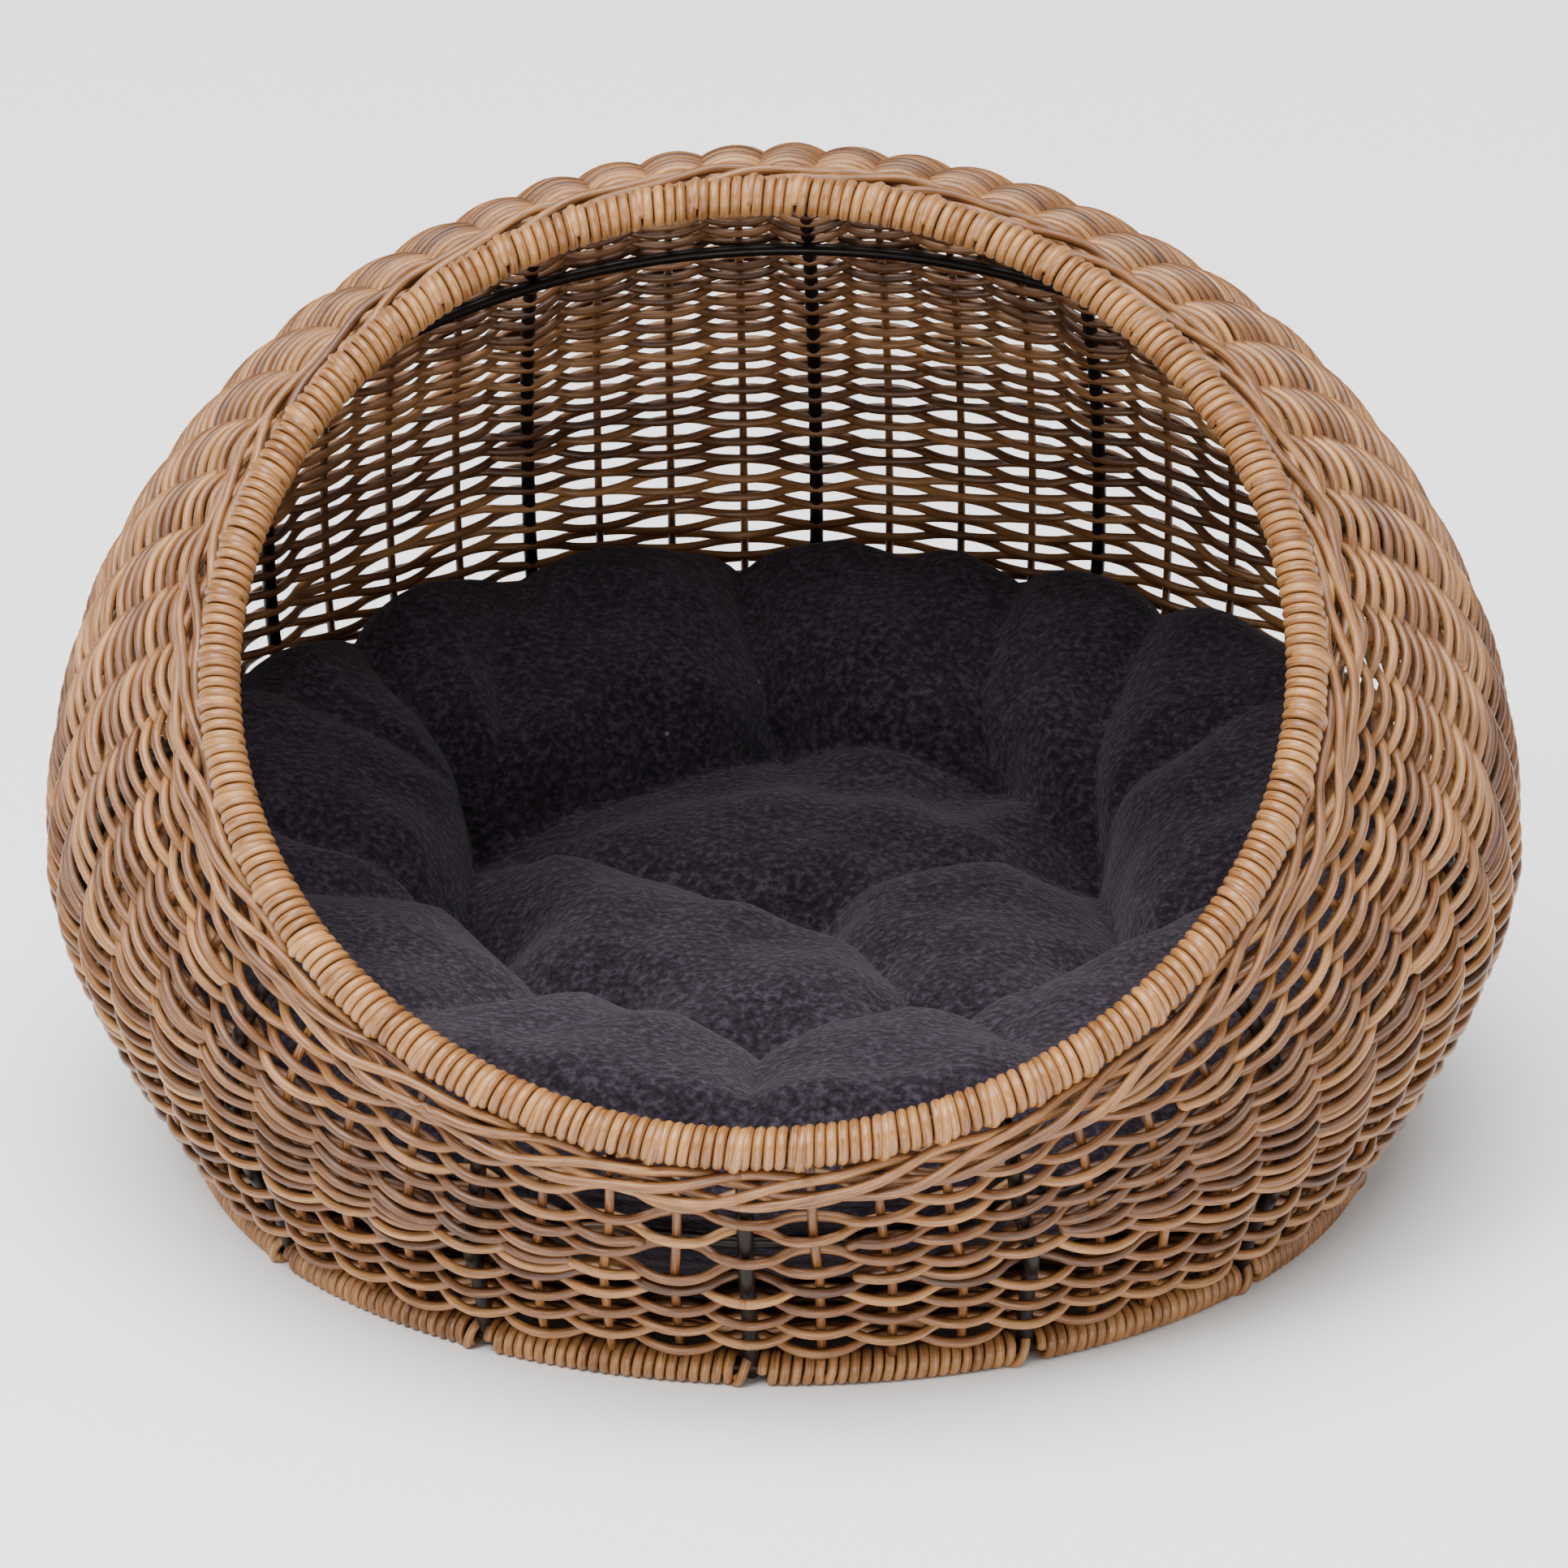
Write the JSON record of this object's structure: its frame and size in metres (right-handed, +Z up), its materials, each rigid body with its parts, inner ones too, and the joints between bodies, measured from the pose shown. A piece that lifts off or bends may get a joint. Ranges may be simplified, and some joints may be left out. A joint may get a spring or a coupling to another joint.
{
  "type": "wicker pet bed basket",
  "caption": "Round hooded wicker basket bed for a cat or small dog, woven on a steel rod frame, with a wrapped tilted opening and a thick loose fleece cushion.",
  "frame": {"origin": "on the floor, under the middle of the overall box", "axes": "+Z up, +X to the right as seen from the front, -Y towards the front, where the tilted opening is"},
  "size_m": [0.58, 0.5878, 0.3993],
  "materials": {
    "frame_paint": "gloss black-brown powder coat on steel rod",
    "stake_wicker": "brown round poly rattan strand, satin, with a streaky grain",
    "woven_wicker": "tan and brown round poly rattan strand, satin, with a streaky grain",
    "wrap_wicker": "light tan round poly rattan strand wound close, satin",
    "cushion_fleece": "charcoal short boucle fleece",
    "cushion_fill": "white polyester fibre filling, hidden in the cover"
  },
  "bodies": {
    "basket": {"back_weave": "woven_wicker", "base_ring": "frame_paint", "base_wrap": "wrap_wicker", "border_braid": "woven_wicker", "floor_bar_back": "frame_paint", "floor_bar_front": "frame_paint", "floor_bar_long": "frame_paint", "floor_weave": "woven_wicker", "frame_rib_01": "frame_paint", "frame_rib_02": "frame_paint", "frame_rib_03": "frame_paint", "frame_rib_04": "frame_paint", "frame_rib_05": "frame_paint", "frame_rib_06": "frame_paint", "frame_rib_07": "frame_paint", "frame_rib_08": "frame_paint", "frame_rib_09": "frame_paint", "frame_rib_10": "frame_paint", "frame_rib_11": "frame_paint", "frame_rib_12": "frame_paint", "frame_rib_13": "frame_paint", "frame_rib_14": "frame_paint", "hood_weave": "woven_wicker", "lower_weave": "woven_wicker", "middle_hoop": "frame_paint", "opening_ring": "frame_paint", "rim_wrap": "wrap_wicker", "stakes_bay_01": "stake_wicker", "stakes_bay_02": "stake_wicker", "stakes_bay_03": "stake_wicker", "stakes_bay_04": "stake_wicker", "stakes_bay_05": "stake_wicker", "stakes_bay_06": "stake_wicker", "stakes_bay_07": "stake_wicker", "stakes_bay_08": "stake_wicker", "stakes_bay_09": "stake_wicker", "stakes_bay_10": "stake_wicker", "stakes_bay_11": "stake_wicker", "stakes_bay_12": "stake_wicker", "stakes_bay_13": "stake_wicker", "stakes_bay_14": "stake_wicker"},
    "cushion": {"cushion_cover": "cushion_fleece", "cushion_filling": "cushion_fill"}
  },
  "joints": [
    {"name": "cushion_lift", "type": "slide", "parent": "basket", "child": "cushion", "axis": [0, 0, 1], "range_m": [0, 0.05]}
  ]
}
